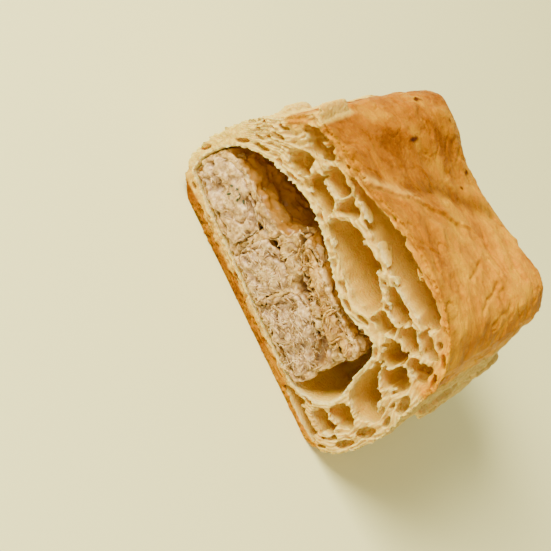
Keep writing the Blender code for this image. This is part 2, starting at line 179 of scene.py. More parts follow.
def grain(points, size, seed=0):
    """Smooth noise, about -1 to 1, with features of that size in mm. size may differ by axis."""
    p = points / np.asarray(size, np.float32) + np.float32(seed * 7.13)
    cell = np.floor(p).astype(np.int64)
    f = (p - cell).astype(np.float32)
    fade = f * f * f * (f * (f * 6 - 15) + 10)
    total = np.zeros(len(p), np.float32)
    for corner in itertools.product((0, 1), repeat=3):
        c = cell + np.array(corner)
        h = scramble(c[:, 0], c[:, 1], c[:, 2], seed)
        away = f - np.array(corner, np.float32)
        slope = np.stack([(h & 255), (h >> 8) & 255, (h >> 16) & 255], 1).astype(np.float32) / 127.5 - 1
        weight = np.ones(len(p), np.float32)
        for axis in range(3):
            weight *= fade[:, axis] if corner[axis] else 1 - fade[:, axis]
        total += weight * (slope * away).sum(1)
    return total * 1.5


def scramble(a, b, c, seed):
    """A number of 32 bits for each cell of a lattice, with no order in it."""
    h = (a * 73856093) ^ (b * 19349663) ^ (c * 83492791) ^ (seed * 2654435)
    h = ((h ^ (h >> 13)) * 1274126177) & 0xFFFFFFFF
    return h ^ (h >> 16)


def octaves(points, size, count, seed=0):
    """Noise with finer and finer detail on it."""
    return sum(grain(points, np.asarray(size) / 2**k, seed + k) / 2**k for k in range(count)) / 1.5


def cells(u, v, seed):
    """For cells of about one unit: the room to the nearest wall, and a number from 0 to 1 for the cell."""
    iu, iv = np.floor(u).astype(np.int64), np.floor(v).astype(np.int64)
    first = np.full(len(u), 9.0, np.float32)
    second = first.copy()
    own = np.zeros(len(u), np.float32)
    for du, dv in itertools.product((-1, 0, 1), repeat=2):
        h = scramble(iu + du, iv + dv, iu * 0 + 5, seed)
        away = np.hypot(iu + du + (h & 1023) / 1024 - u, iv + dv + ((h >> 10) & 1023) / 1024 - v)
        nearer = away < first
        second = np.where(nearer, first, np.minimum(second, away))
        own = np.where(nearer, ((h >> 20) & 255) / 255, own)
        first = np.where(nearer, away, first)
    return second - first, own


def smooth(x, low, high):
    """0 below low, 1 above high, and an S curve between."""
    t = np.clip((x - low) / (high - low), 0, 1)
    return t * t * (3 - 2 * t)


def ridged(x):
    """1 on the crest of a wave of period 1, 0 in its trough."""
    return 1 - 2 * np.abs(x - np.floor(x) - 0.5)


def line_distance(x, y, points):
    """Each place's distance to a bent line on the plan."""
    nearest = np.full(len(x), 99.0, np.float32)
    for (x0, y0), (x1, y1) in zip(points, points[1:]):
        along = ((x - x0) * (x1 - x0) + (y - y0) * (y1 - y0)) / ((x1 - x0) ** 2 + (y1 - y0) ** 2)
        along = np.clip(along, 0, 1)
        nearest = np.minimum(nearest, np.hypot(x - x0 - along * (x1 - x0), y - y0 - along * (y1 - y0)))
    return nearest


def merged_copy(node):
    """The CAD node's mesh in millimetres, with its loose triangles joined."""
    copy = bmesh.new()
    copy.from_mesh(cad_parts[node].data)
    bmesh.ops.remove_doubles(copy, verts=copy.verts, dist=1e-6)
    bmesh.ops.scale(copy, vec=(1 / MM,) * 3, verts=copy.verts)
    return copy


def through_modifier(mesh, kind, **settings):
    """The mesh as that modifier leaves it."""
    obj = bpy.data.objects.new("worked", mesh)
    bpy.context.collection.objects.link(obj)
    modifier = obj.modifiers.new("work", kind)
    for key, value in settings.items():
        setattr(modifier, key, value)
    result = bpy.data.meshes.new_from_object(obj.evaluated_get(bpy.context.evaluated_depsgraph_get()))
    bpy.data.objects.remove(obj)
    return result


def remeshed(copy, voxel):
    """A fine even mesh of the same form, in millimetres. It frees the copy."""
    mesh = bpy.data.meshes.new("coarse")
    copy.to_mesh(mesh)
    copy.free()
    return through_modifier(mesh, "REMESH", mode="VOXEL", voxel_size=voxel)


def read_points(mesh):
    co = np.empty(len(mesh.vertices) * 3, np.float32)
    mesh.vertices.foreach_get("co", co)
    return co.reshape(-1, 3)


def read_normals(mesh):
    normals = np.empty(len(mesh.vertices) * 3, np.float32)
    mesh.vertex_normals.foreach_get("vector", normals)
    return normals.reshape(-1, 3)


def write_points(mesh, co):
    mesh.vertices.foreach_set("co", co.astype(np.float32).ravel())
    mesh.update()


def write_attribute(mesh, name, values):
    attribute = mesh.attributes.get(name) or mesh.attributes.new(name, "FLOAT", "POINT")
    attribute.data.foreach_set("value", values.astype(np.float32))


def distance_to(tree, points, where):
    """The distance to a surface of the points picked by where, and FAR_MM for the others."""
    result = np.full(len(points), FAR_MM, np.float32)
    result[where] = [tree.find_nearest(p)[3] for p in points[where].tolist()]
    return result


def surface_tree(faces):
    """A tree of those faces, to find the nearest place on them."""
    index = {}
    corners = [[index.setdefault(v, len(index)) for v in f.verts] for f in faces]
    return BVHTree.FromPolygons([v.co.copy() for v in index], corners)


# The surfaces of the solid: its outside, its cut face, its hollow and its pockets
copy = merged_copy("pastry")
front_y = min(v.co.y for v in copy.verts)
cut_faces = [
    face
    for face in copy.faces
    if face.normal.y < -CUT_FACE_SLOPE and face.calc_center_median().y < front_y + CUT_FACE_REACH
]
unseen = dict.fromkeys(copy.faces)
for face in cut_faces:
    del unseen[face]
shells = []
while unseen:
    shell = [unseen.popitem()[0]]
    for face in shell:
        for other in [other for side in face.edges for other in side.link_faces]:
            if other in unseen:
                del unseen[other]
                shell.append(other)
    shells.append(shell)
shells.sort(key=lambda shell: -sum(f.calc_area() for f in shell))
OUTSIDE, BASE, CUT, HOLLOW, POCKET = range(5)
outside_faces = [f for f in shells[0] if f.normal.z > BASE_FACING]
base_faces = [f for f in shells[0] if f.normal.z <= BASE_FACING]
pocket_faces = [f for shell in shells[2:] for f in shell]
surfaces = (outside_faces, base_faces, cut_faces, shells[1], pocket_faces)
labels = np.concatenate([np.full(len(faces), label) for label, faces in enumerate(surfaces)])
whole_tree = surface_tree([f for faces in surfaces for f in faces])
outside_tree, base_tree, cut_tree, hollow_tree, pocket_tree = (surface_tree(faces) for faces in surfaces)

# Steam has stretched the walls between neighbouring pockets until they are hardly thicker than paper
# at the cut, so each pocket is opened out there nearly as far as the next one
SHEET_MM = 0.62
OUTER_WALL_MM = 1.7
WIDEN_MOST = 1.8
LEAST_WIDEN = 0.12
WIDEN_FULL = 1.0
WIDEN_REACH = 11.0
LIP_MM = 3.0
LONGEST_EDGE = 1.4
LEAST_SIDEWAYS = 0.3
LOOK_FROM_DEPTH = 1.2
LOOK_START = 0.05
LOOK_ACROSS = 12.0
whole_cutter = bmesh.new()
for shell in shells[2:]:
    part = bmesh.new()
    copied = {}
    for face in shell:
        for vert in reversed(face.verts):
            if vert not in copied:
                copied[vert] = part.verts.new(vert.co)
        part.faces.new([copied[vert] for vert in reversed(face.verts)])
    mouth = [e for e in part.edges if e.is_boundary]
    if not mouth:
        part.free()
        continue
    lip = bmesh.ops.extrude_edge_only(part, edges=mouth)["geom"]
    lip_verts = [g for g in lip if isinstance(g, bmesh.types.BMVert)]
    bmesh.ops.translate(part, verts=lip_verts, vec=(0, -LIP_MM, 0))
    bmesh.ops.holes_fill(part, edges=[e for e in part.edges if e.is_boundary])
    for _ in range(2):
        long_edges = [e for e in part.edges if e.calc_length() > LONGEST_EDGE]
        bmesh.ops.subdivide_edges(part, edges=long_edges, cuts=1)
        bmesh.ops.triangulate(part, faces=[f for f in part.faces if len(f.verts) > 3])
    part.normal_update()
    co = np.array([v.co for v in part.verts], np.float32)
    uneven = 0.5 + 0.9 * np.abs(grain(co, (2.4, 5.0, 2.4), 23)) + 0.35 * grain(co, (1.1, 3.0, 1.1), 24)
    for vert, share in zip(part.verts, uneven):
        way = Vector((vert.normal.x, 0.0, vert.normal.z))
        if way.length < LEAST_SIDEWAYS:
            continue
        way.normalize()
        base = Vector((vert.co.x, max(vert.co.y, front_y + LOOK_FROM_DEPTH), vert.co.z))
        _, _, hit, room = whole_tree.ray_cast(base + way * LOOK_START, way, LOOK_ACROSS)
        if hit is None:
            continue
        skin = labels[hit] in (OUTSIDE, BASE)
        widen = room - OUTER_WALL_MM if skin else 0.5 * (room - SHEET_MM)
        fade = 1 - smooth(np.float32(vert.co.y - front_y), WIDEN_FULL, WIDEN_REACH)
        vert.co += way * float(LEAST_WIDEN + min(max(widen, 0.0), WIDEN_MOST) * fade * min(share, 1.2))
    part_mesh = bpy.data.meshes.new("pocket")
    part.to_mesh(part_mesh)
    part.free()
    whole_cutter.from_mesh(part_mesh)
bmesh.ops.recalc_face_normals(whole_cutter, faces=whole_cutter.faces)
widened_tree = BVHTree.FromBMesh(whole_cutter)


def room_at(x, z):
    """How far that place on the cut face is from the nearest skin, hollow or pocket."""
    place = Vector((x, front_y + 1.0, z))
    return min(tree.find_nearest(place)[3] for tree in (outside_tree, base_tree, hollow_tree, widened_tree))


# Small flat bubbles between the sheets, largest first, and thin walls between. The end that the
# knife has pressed together holds few.
CELL_TRIES = 9000
CELL_WALL = 0.36
CELL_HALF_HEIGHTS = (1.6, 1.2, 0.9, 0.65, 0.5)
CELL_RANGE_X = (-42.0, 42.0)
CELL_RANGE_Z = (3.0, 49.0)
CRUMBLY_END_X = -15.0
CRUMBLY_MOST_HALF = 0.7
CRUMBLY_SKIPPED = 0.75
rng = random.Random(5)
bubbles = []
for attempt in range(CELL_TRIES):
    half = CELL_HALF_HEIGHTS[attempt * len(CELL_HALF_HEIGHTS) // CELL_TRIES] * rng.uniform(0.8, 1.1)
    cx, cz = rng.uniform(*CELL_RANGE_X), rng.uniform(*CELL_RANGE_Z)
    middle = Vector((cx, front_y, cz))
    if cut_tree.find_nearest(middle)[3] > 1.0 or room_at(cx, cz) < half + CELL_WALL:
        continue
    if cx < CRUMBLY_END_X and (half > CRUMBLY_MOST_HALF or rng.random() < CRUMBLY_SKIPPED):
        continue
    away = middle - hollow_tree.find_nearest(middle)[0]
    slope = math.atan2(away.x, -away.z) + rng.gauss(0.0, 0.15)
    long_half = half * rng.uniform(1.8, 4.0)
    ends = [
        (cx + math.cos(slope) * share * long_half, cz + math.sin(slope) * share * long_half)
        for share in (-0.75, 0.75)
    ]
    if min(room_at(*end) for end in ends) < 0.5 * half + CELL_WALL:
        continue
    spine = [(cx, cz, half)] + [(ex, ez, 0.65 * half) for ex, ez in ends]
    if any(math.hypot(a[0] - b[0], a[1] - b[1]) < a[2] + b[2] + CELL_WALL for a in spine for b in bubbles):
        continue
    bubbles += spine
    deep = rng.uniform(1.6, 3.0) * half + 0.8
    shape = Matrix.Translation((cx, front_y + 0.35 * deep, cz)) @ Matrix.Rotation(-slope, 4, "Y")
    shape = shape @ Matrix.Diagonal((long_half, deep, half, 1.0))
    made = bmesh.ops.create_icosphere(whole_cutter, subdivisions=2, radius=1.0, matrix=shape)["verts"]
    shift = 0.28 * grain(np.array([v.co for v in made], np.float32), 1.6, 25) * min(half, 1.0)
    for vert, amount in zip(made, shift):
        vert.co += (vert.co - Vector((cx, vert.co.y, cz))).normalized() * float(amount)
cutter_mesh = bpy.data.meshes.new("cell_cutter")
whole_cutter.to_mesh(cutter_mesh)
whole_cutter.free()
cutter = bpy.data.objects.new("cell_cutter", cutter_mesh)
bpy.context.collection.objects.link(cutter)
solid_mesh = bpy.data.meshes.new("pastry_solid")
copy.to_mesh(solid_mesh)
copy.free()
celled = through_modifier(solid_mesh, "BOOLEAN", operation="DIFFERENCE", object=cutter, solver="MANIFOLD")
bpy.data.objects.remove(cutter)


def main_island(mesh):
    """The same mesh without the loose crumbs beside its largest part."""
    ends = np.empty(len(mesh.edges) * 2, np.int32)
    mesh.edges.foreach_get("vertices", ends)
    first, second = ends.reshape(-1, 2).T
    island = np.arange(len(mesh.vertices))
    while True:
        a, b = island[first], island[second]
        if (a == b).all():
            break
        np.minimum.at(island, np.maximum(a, b), np.minimum(a, b))
        while (island[island] != island).any():
            island = island[island]
    loose = np.nonzero(island != np.bincount(island).argmax())[0]
    if len(loose):
        bm = bmesh.new()
        bm.from_mesh(mesh)
        bm.verts.ensure_lookup_table()
        bmesh.ops.delete(bm, geom=[bm.verts[i] for i in loose], context="VERTS")
        bm.to_mesh(mesh)
        bm.free()
    return mesh


fine = main_island(through_modifier(celled, "REMESH", mode="VOXEL", voxel_size=FINE_MM))
here = read_points(fine)
normal = read_normals(fine)
label = labels[[whole_tree.find_nearest(p)[2] for p in here.tolist()]]
x, y, z = here.T
depth = y - front_y
at_front = depth < MOUTH_MM
to_outside = distance_to(outside_tree, here, at_front)
to_base = distance_to(base_tree, here, at_front)
to_hollow = distance_to(hollow_tree, here, at_front)
to_pocket = distance_to(pocket_tree, here, at_front)
to_cut = distance_to(cut_tree, here, at_front)
to_cavity = np.minimum(to_hollow, to_pocket)
on_cut, in_hollow, in_pocket = label == CUT, label == HOLLOW, label == POCKET
in_cavity = in_hollow | in_pocket
on_side = (label == OUTSIDE) | (label == BASE)

# The golden crust reaches lower on some stretches of the sides than on others, and the thin flake that
# has lifted off the left shoulder is pale: partly its own pale dough and partly a painted highlight
CRUST_EDGE_Z = 34.5
BASE_SKIN_FULL, BASE_SKIN_TOP = 1.9, 3.1
FLAKE_PALENESS_AND_HIGHLIGHT = 0.68
crust_edge = CRUST_EDGE_Z + 4.5 * grain(here, (13, 13, 60), 3) + 1.6 * grain(here, (3.5, 3.5, 12), 4)
golden = smooth(z + 1.1 * grain(here, (2.2, 2.2, 1.2), 5), crust_edge - 1.6, crust_edge + 1.4)
lifted_flake = smooth(-x, 30.0, 31.5) * smooth(z, 39.5, 41.5) * (1 - smooth(y, -20.0, -16.5))
golden *= 1 - FLAKE_PALENESS_AND_HIGHLIGHT * lifted_flake
base_skin = smooth(-z + 0.7 * grain(here, (4, 4, 2), 6), -BASE_SKIN_TOP, -BASE_SKIN_FULL)

# The layers at the cut follow the dough from the hollow to the outside, and long cells lie between
LAYER_COUNT = 9.0
CELL_LENGTH = 4.2
CELL_SUNK_MM = 1.6
CRUMB_MM = 0.32
THICK_SUNK_MM = 0.25
FRINGE_MM = 0.62
HOLLOW_MIDDLE_X, HOLLOW_MIDDLE_Z = -4.0, 16.0
LAYER_BEND_RADIUS = 27.0
across = to_hollow / (to_hollow + np.minimum(to_outside, to_base + 1.5) + 1e-3)
along = np.arctan2(z - HOLLOW_MIDDLE_Z, x - HOLLOW_MIDDLE_X) * LAYER_BEND_RADIUS
layers = across * LAYER_COUNT + 0.5 * grain(here, (5, 8, 5), 7)
room_in_cell, cell_own = cells(layers, along / CELL_LENGTH + 0.3 * grain(here, 3.0, 8), 9)
thick = smooth(to_hollow + to_outside, 5.0, 8.0)
open_cell = smooth(room_in_cell, 0.10, 0.42) * smooth(cell_own, 0.1, 0.5) * thick * 0.55
off_face = smooth(to_cut, 0.25, 0.8)
crumb = octaves(here, 1.4, 3, 10)
fringe = grain(here, 0.95, 11) + 0.6 * grain(here, 0.5, 12)
fringe = fringe * (0.7 + 1.1 * np.abs(grain(here, 3.2, 39)))
near_cavity = 1 - smooth(to_cavity, 0.25, 0.9)
near_skin = 1 - smooth(np.minimum(to_outside, to_base), 0.3, 1.2)
open_cell *= (1 - near_cavity) * (1 - near_skin)
cut_push = CELL_SUNK_MM * open_cell + CRUMB_MM * crumb * thick - THICK_SUNK_MM * thick
cut_push += near_cavity * FRINGE_MM * fringe + near_skin * (0.3 + 0.6 * fringe) * np.maximum(thick, golden)
left_end = smooth(-x, 14.0, 22.0)
cut_push += (0.9 * octaves(here, 2.1, 3, 26) + 0.4 * fringe) * left_end * (0.45 + 0.55 * thick)

# Side layers: thin pale ledges stacked up the walls
LEDGE_SPACING = 2.1
LEDGE_MM = 0.45
LEDGE_SUNK_MM = 0.3
ledge = ridged(z / LEDGE_SPACING + 0.8 * grain(here, (9, 9, 9), 13) + 0.15 * grain(here, 1.5, 14))
side_out = LEDGE_MM * smooth(ledge, 0.1, 0.9) - LEDGE_SUNK_MM + 0.25 * octaves(here, (3, 3, 0.9), 2, 15)
side_out += 0.35 * fringe * smooth(-x, 24.0, 30.0) * (1 - smooth(depth, 2.0, 9.0))

# The crust: blisters, fine wrinkles, creases, small flakes and furrows where it has cracked
CREASE_MM = 0.38
BLISTER_MM = 0.42
FLAKE_MM = 0.15
FURROW_HALF_WIDTH = 0.7
FURROWS = (
    [(15.0, 7.0), (21.0, 7.8)],
    [(8.0, 2.8), (17.0, 1.2)],
    [(18.5, -4.0), (21.5, -16.0)],
    [(25.0, -3.0), (26.5, -11.0)],
    [(12.5, -7.0), (14.0, -15.0)],
    [(4.5, 13.5), (9.0, 17.5)],
)
wrinkles = 0.14 * octaves(here, 2.6, 3, 16) + 0.5 * grain(here, (7.0, 5.0, 9.0), 29)
creases = smooth(ridged(0.5 + grain(here, (9.0, 4.5, 9.0), 17) * 1.3), 0.80, 1.0)
wrinkles -= CREASE_MM * creases * smooth(grain(here, 12.0, 28), -0.15, 0.25)
blisters = BLISTER_MM * smooth(grain(here, 5.0, 18), 0.15, 0.7)
flaky = FLAKE_MM * smooth(grain(here, (2.6, 1.8, 2.6), 19), 0.0, 0.08)
furrows = np.zeros(len(x), np.float32)
for line in FURROWS:
    near = line_distance(x + 0.9 * grain(here, 3.0, 32), y + 0.9 * grain(here, 3.0, 33), line)
    near = near / FURROW_HALF_WIDTH
    furrows = np.minimum(furrows, (0.35 * near - 0.55) * np.exp(-(near ** 2) / 2))

# The fold: the upper flap of dough ends in a step across the crust, which fades towards the back
FOLD = [(-15.5, -33.0), (-7.0, -20.0), (0.5, -8.0)]
FOLD_RUN_X, FOLD_RUN_Y, FOLD_LENGTH = 16.0, 25.0, 29.7
FOLD_STEP_MM = 0.75
TOP_FROM_Z, TOP_FULL_Z = 38.0, 42.0
on_top = smooth(z, TOP_FROM_Z, TOP_FULL_Z)
past_fold = ((x - FOLD[0][0]) * FOLD_RUN_Y - (y - FOLD[0][1]) * FOLD_RUN_X) / FOLD_LENGTH
past_fold = past_fold + 0.8 * grain(here, 2.5, 20)
fold_step = (1 - smooth(past_fold, -0.25, 0.25)) * (1 - smooth(line_distance(x, y, FOLD), 3.0, 14.0))
# Painted light: a paler band along the edge of the flap, where the step catches the light
lit_flap_edge = np.exp(-(((past_fold + 1.3) / 1.5) ** 2)) * on_top
lit_flap_edge *= (1 - smooth(y, -25.0, -13.0)) * (0.7 + 0.6 * grain(here, 2.2, 34))
crust_out = wrinkles + blisters + flaky + furrows + FOLD_STEP_MM * fold_step

# The browner band along the ridge behind the fold, and a few dark spots of burnt egg wash
BROWN_BAND = [(-10.0, -18.0), (-7.0, -3.0), (-1.5, 7.0), (2.5, 14.0)]
BAND_HALF_WIDTH = 2.6
SPOTS = (
    ((-20.2, -6.5), (-20.0, -3.5), 0.8),
    ((-28.7, 5.5), (-28.7, 7.5), 0.5),
    ((-8.2, 13.9), (-8.0, 15.0), 0.7),
    ((-5.2, 9.4), (-5.2, 9.7), 0.4),
    ((-21.2, 12.4), (-21.1, 12.7), 0.4),
    ((-28.6, 18.0), (-28.0, 19.4), 0.6),
)
brown_band = np.exp(-((line_distance(x, y, BROWN_BAND) / BAND_HALF_WIDTH) ** 2)) * on_top
spots = np.zeros(len(x), np.float32)
for start, end, radius in SPOTS:
    away = line_distance(x, y, [start, end]) + 0.5 * grain(here, 1.1, 31)
    spots = np.maximum(spots, np.exp(-((away / radius) ** 4)) * on_top)

# Each point moves out, or along the cut, by the relief of the surface it lies on
MOST_OUT_MM = 1.2
BILLOW_SHARE = 0.8
push = np.zeros_like(here)
outward = (crust_out * golden + side_out * (1 - golden)) * smooth(z, 0.3, 1.6)
push += normal * np.where(label == OUTSIDE, outward, 0.0)[:, None]
push[:, 1] += np.where(on_cut, cut_push * (1 - off_face), 0.0)
ragged = 0.30 * fringe + 0.2
at_mouth = (in_cavity | on_cut) * np.exp(-((depth / 1.6) ** 2)) * (1 - smooth(to_cavity, 0.3, 1.0))
push -= normal * (ragged * at_mouth * (1 - near_skin))[:, None] * np.array([1, 0, 1])
billow = 0.5 * grain(here, (6, 9, 6), 21) + 0.14 * grain(here, (2.2, 3.0, 2.2), 22)
push += normal * np.where(in_cavity, billow * smooth(depth, 0.5, 6.0) * BILLOW_SHARE, 0.0)[:, None]
moved = here + push
moved[:, 2] = np.maximum(moved[:, 2], 0.0)
before_cut = np.maximum(front_y - moved[:, 1], 0.0)
behind_cut = np.maximum(moved[:, 1] - front_y, 0.0)
moved[:, 1] = front_y - MOST_OUT_MM * np.tanh(before_cut / MOST_OUT_MM) + behind_cut
write_points(fine, moved)

# How far each point is baked, toasted, sliced, deep inside and so on, for the material to read, and
# where light and shade are painted
RIM_MM = 6.0
BAKED_POCKET = 0.9
DOUGH_BAND = 0.3
BROWN_BASE_Z = 4.0
DEEP_MM = 24.0
rim_bake = golden * (1 - smooth(to_outside, 0.2, RIM_MM + 2.6 * crumb))
pocket_bake = in_pocket * golden * (1 - smooth(to_outside, 1.2, 5.6 + crumb))
pocket_bake = pocket_bake * (1 - smooth(depth, 0.8, 9.0)) * BAKED_POCKET
cut_edges = np.clip(near_cavity + 0.6 * (1 - open_cell) * thick, 0, 1) * (1 - off_face)
pocket_lips = in_cavity * (1 - smooth(depth + 0.5 * fringe, 0.4, 1.8))
toasted_ledge = 0.45 * smooth(ledge, 0.55, 0.95) * smooth(z, 12.0, 34.0)
toasted_ledge = toasted_ledge * smooth(grain(here, (11, 11, 7), 27), -0.3, 0.4)
side_bake = np.maximum(np.maximum(golden, base_skin), toasted_ledge)
cut_bake = np.maximum(np.maximum(rim_bake, base_skin), DOUGH_BAND * (1 - smooth(z, 3.6, 6.0)))
bake = np.where(on_cut, cut_bake, np.where(on_side, side_bake, pocket_bake))
rim_toast = golden * (1 - smooth(depth + 1.6 * grain(here, 2.4, 37), 0.6, 5.0))
rim_toast = rim_toast * (0.24 + 0.2 * grain(here, 4.0, 38))
toast = np.maximum(rim_toast * (label == OUTSIDE), 0.0) + 0.6 * brown_band + spots
toast = toast + 0.35 * base_skin * (z < BROWN_BASE_Z)
# Painted shade, with the yellower tone of the inner dough: the sunk cells and recessed parts of the cut get
# some of the darker inner colour
painted_recess_shade = np.where(on_cut, np.maximum(open_cell * 0.08, off_face * 0.075), 0.0)
kinds = (CUT_LAYERS, HOLLOW_WALLS, POCKET_WALLS, GOLDEN_CRUST)
values_by_name = {
    "bake": bake,
    "toast": toast,
    "flap": np.clip(0.75 * lit_flap_edge, 0, 1),
    # painted light: how far the crust is painted lighter, growing towards +X
    "lighter": smooth(x + 5.0 * grain(here, (14, 14, 60), 35), -26.0, 34.0),
    "edge": np.maximum(np.where(on_cut, cut_edges, 0.0), pocket_lips),
    "layers": layers + 0.25 * grain(here, 2.5, 36),
    "sliced": on_cut * thick * smooth(to_hollow, 0.3, 1.2),
    "depth": np.where(in_cavity, depth / DEEP_MM, painted_recess_shade),
    "hollow": in_hollow * 1.0,
    "kind": np.select((on_cut, in_hollow, in_pocket, bake > 0.5), kinds, PALE_SIDES),
}
for name, values in values_by_name.items():
    write_attribute(fine, name, values)


def decimated(mesh, most_triangles):
    """The same mesh with about that many triangles at most."""
    triangles = sum(len(p.vertices) - 2 for p in mesh.polygons)
    if triangles <= most_triangles:
        return mesh
    return through_modifier(mesh, "DECIMATE", ratio=most_triangles / triangles)


def finished_piece(name, bm, material, node):
    """Makes a piece of the puff from a bmesh in millimetres, and hides the CAD part it stands for."""
    bmesh.ops.scale(bm, vec=(MM,) * 3, verts=bm.verts)
    mesh = bpy.data.meshes.new(name)
    bm.to_mesh(mesh)
    bm.free()
    mesh.shade_smooth()
    mesh.materials.append(material)
    obj = bpy.data.objects.new(name, mesh)
    bpy.context.collection.objects.link(obj)
    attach(obj, "root")
    if node:
        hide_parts(node)
    return obj


# Puff pastry, egg-washed and baked. The crust is dry, thin and slightly glossy where the egg sits,
# and the layers below it are pale, waxy and let light through.
SHEETS_PER_LAYER = 1.6
SHEET_TURN = SHEETS_PER_LAYER * math.tau
COLOUR = {"data_type": "RGBA"}
COLOUR_OUT = 2
baked_dough, tree, shader = new_material("baked_dough")
place = add_node(tree, "ShaderNodeTexCoord", out="Object")
baked = {
    name: add_node(tree, "ShaderNodeAttribute", {"attribute_name": name}, "Fac")
    for name in ("bake", "toast", "flap", "lighter", "edge", "layers", "sliced", "depth", "hollow")
}

# Noise with features of 10, 1.7, 0.7 and 0.55 mm: blotches, flecks, specks and crumbs
broad, fleck, speckle, crumbs = (
    add_node(tree, "ShaderNodeTexNoise", Vector=place, Scale=1 / (size * MM), Detail=detail, Roughness=rough)
    for size, detail, rough in ((10.0, 3.0, 0.55), (1.7, 5.0, 0.65), (0.7, 3.0, 0.6), (0.55, 3.0, 0.6))
)
mottle = add_node(tree, "ShaderNodeMath", {"operation": "MULTIPLY_ADD"}, _0=fleck, _1=0.32, _2=broad)

# The edges of the sheets of dough, as fine dark lines across the thick parts of the cut
turns = add_node(tree, "ShaderNodeMath", {"operation": "MULTIPLY"}, _0=baked["layers"], _1=SHEET_TURN)
wave = add_node(tree, "ShaderNodeMath", {"operation": "SINE"}, _0=turns)
lines = add_node(tree, "ShaderNodeMapRange", Value=wave, From_Min=-1.0, From_Max=1.0)
sheets = add_node(tree, "ShaderNodeMath", {"operation": "MULTIPLY"}, _0=lines, _1=baked["sliced"])

# How much of each colour shows where: nothing at the first value, and the share given at the second
shares = {
    name: add_node(tree, "ShaderNodeMapRange", Value=value, From_Min=low, From_Max=high, To_Max=most)
    for name, value, low, high, most in (
        # painted highlights: small pale flecks on the crust
        ("painted_glints", speckle, 0.62, 0.76, 0.3),
        ("dark flecks", fleck, 0.36, 0.22, 0.3),
        ("sheets", sheets, 0.0, 1.0, 0.8),
        # painted light: the deeper parts of the pockets and the hollow are painted lighter
        ("deep", baked["depth"], 0.25, 1.0, 1.0),
        ("inner", baked["depth"], 0.03, 0.16, 1.0),
        ("golden grain", fleck, 0.3, 0.7, 1.0),
        ("golden", baked["bake"], 0.0, 0.55, 1.0),
        ("crust", baked["bake"], 0.5, 1.0, 1.0),
    )
}

# The crust is painted darker towards the fold and lighter towards the other end: painted shade and
# painted light across its baked tones
CRUST_PAINTED_DARKER = ((0.48, "784000"), (0.58, "925400"), (0.68, "A06200"), (0.84, "B47A00"))
CRUST_PAINTED_LIGHTER = ((0.48, "AC6800"), (0.58, "C47E00"), (0.68, "D08C00"), (0.84, "DE9E00"))
PALE_DOUGH = ((0.32, "CAA84A"), (0.5, "DEBC5A"), (0.68, "EACC70"))
shaded_end_crust = add_node(tree, "ShaderNodeValToRGB", {"stops": CRUST_PAINTED_DARKER}, Fac=mottle)
lit_end_crust = add_node(tree, "ShaderNodeValToRGB", {"stops": CRUST_PAINTED_LIGHTER}, Fac=mottle)
crust = add_node(tree, "ShaderNodeMix", COLOUR, COLOUR_OUT, _0=baked["lighter"], _6=shaded_end_crust, _7=lit_end_crust)
crust_coats = (
    # Painted highlights: small pale golden flecks across the crust
    (shares["painted_glints"], "D4A822"),
    (shares["dark flecks"], "845000"),
    (baked["toast"], "4E2004"),
    # painted light along the edge of the flap
    (baked["flap"], "DAA63A"),
)
for mask, colour in crust_coats:
    crust = add_node(tree, "ShaderNodeMix", COLOUR, COLOUR_OUT, _0=mask, _6=crust, _7=linear(colour))
pale = add_node(tree, "ShaderNodeValToRGB", {"stops": PALE_DOUGH}, Fac=fleck)
for mask, colour in ((baked["edge"], "EACE7E"), (shares["sheets"], "C49C42")):
    pale = add_node(tree, "ShaderNodeMix", COLOUR, COLOUR_OUT, _0=mask, _6=pale, _7=linear(colour))

# Inside the hollow and the pockets the dough is painted lighter and yellower the deeper it lies, and
# lighter in the hollow than in the pockets: painted light that stands in for light through the dough.
# Between the pale dough and the crust lies a band that has only begun to bake.
inner_near, deep_painted_glow, golden_dough = (
    add_node(tree, "ShaderNodeMix", COLOUR, COLOUR_OUT, _0=mask, _6=linear(first), _7=linear(second))
    for mask, first, second in (
        (baked["hollow"], "D6AA40", "DCAE42"),
        (baked["hollow"], "E6BC46", "F0B63A"),
        (shares["golden grain"], "BE861C", "D6AE44"),
    )
)
inner = add_node(tree, "ShaderNodeMix", COLOUR, COLOUR_OUT, _0=shares["deep"], _6=inner_near, _7=deep_painted_glow)
surface = pale
for mask, colour in ((shares["inner"], inner), (shares["golden"], golden_dough), (shares["crust"], crust)):
    surface = add_node(tree, "ShaderNodeMix", COLOUR, COLOUR_OUT, _0=mask, _6=surface, _7=colour)
tree.links.new(surface, shader.inputs["Base Color"])

# Dry and rough where it is pale, smoother under the egg wash, whose weak shine is golden
rough = add_node(tree, "ShaderNodeMapRange", Value=baked["bake"], To_Min=0.62, To_Max=0.46)
tree.links.new(rough, shader.inputs["Roughness"])
shader.inputs["Specular IOR Level"].default_value = 0.1
shader.inputs["Specular Tint"].default_value = linear("F2B450")
shader.inputs["Subsurface Weight"].default_value = 0.6
shader.inputs["Subsurface Radius"].default_value = (1.0, 0.66, 0.25)
shader.inputs["Subsurface Scale"].default_value = 0.0018

